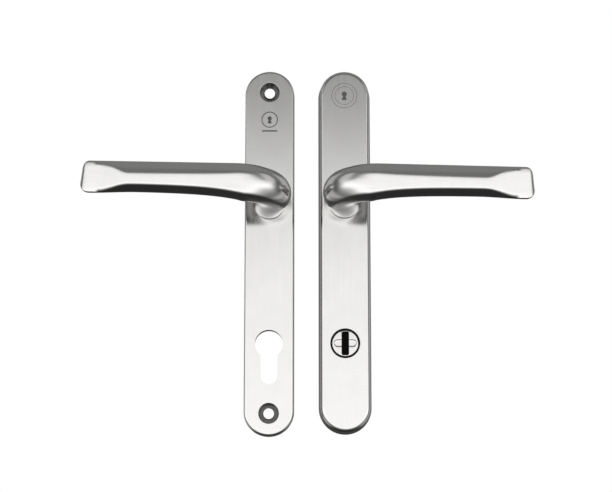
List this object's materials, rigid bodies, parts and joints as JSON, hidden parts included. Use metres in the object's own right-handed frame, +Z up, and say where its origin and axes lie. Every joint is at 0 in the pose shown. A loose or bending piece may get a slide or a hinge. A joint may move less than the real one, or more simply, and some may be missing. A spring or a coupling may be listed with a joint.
{
  "type": "lever door handle pair",
  "caption": "Pair of satin steel lever handles on long round-ended plates for a euro-profile door lock, with return springs, square spindle and turning key guard.",
  "frame": {"origin": "on the door's face, at spindle height, midway between the two spindle axes", "axes": "+Z up the door, +Y into the door, +X to the right as seen from the front of the handles"},
  "size_m": [0.2847, 0.116, 0.24],
  "materials": {
    "satin_stainless": "satin brushed",
    "plain_steel": "zinc plated",
    "hardened_steel": "black hardened",
    "spring_steel": "drawn wire",
    "die_cast_zinc": "as cast",
    "black_polymer": "moulded"
  },
  "bodies": {
    "plates": {"inside_cover_plate": "satin_stainless", "inside_frame": "die_cast_zinc", "inside_neck_bush": "black_polymer", "inside_thrust_washer": "plain_steel", "inside_return_spring": "spring_steel", "inside_spring_plate": "plain_steel", "inside_spring_plate_screw_upper": "plain_steel", "inside_spring_plate_screw_lower": "plain_steel", "outside_cover_plate": "satin_stainless", "outside_frame": "die_cast_zinc", "outside_neck_bush": "black_polymer", "outside_thrust_washer": "plain_steel", "outside_return_spring": "spring_steel", "outside_spring_plate": "plain_steel", "outside_spring_plate_screw_upper": "plain_steel", "outside_spring_plate_screw_lower": "plain_steel", "guard_bearing_ring": "black_polymer", "anti_drill_plate": "hardened_steel", "anti_drill_screw_upper": "plain_steel", "anti_drill_screw_lower": "plain_steel", "fixing_post_upper": "plain_steel", "fixing_post_lower": "plain_steel", "cover_screw_upper": "plain_steel", "cover_screw_lower": "plain_steel"},
    "inside_lever": {"inside_lever": "satin_stainless", "inside_spring_cam": "plain_steel", "inside_retaining_ring": "spring_steel"},
    "outside_lever": {"outside_lever": "satin_stainless", "outside_spring_cam": "plain_steel", "outside_retaining_ring": "spring_steel", "spindle": "plain_steel", "spindle_pin": "spring_steel"},
    "guard": {"guard_disc": "satin_stainless", "key_slot_lips": "black_polymer"}
  },
  "joints": [
    {"name": "inside_lever_turn", "type": "hinge", "parent": "plates", "child": "inside_lever", "pos_m": [-0.0245, 0, 0], "axis": [0, -1, 0], "range_deg": [-45, 45], "stiffness_Nm_per_rad": 2.2, "deforming": ["inside_return_spring"]},
    {"name": "outside_lever_turn", "type": "hinge", "parent": "plates", "child": "outside_lever", "pos_m": [0.0245, 0, 0], "axis": [0, 1, 0], "range_deg": [-45, 45], "stiffness_Nm_per_rad": 2.2, "deforming": ["outside_return_spring"]},
    {"name": "guard_turn", "type": "hinge", "parent": "plates", "child": "guard", "pos_m": [0.0245, 0, -0.092], "axis": [0, -1, 0], "continuous": true}
  ]
}
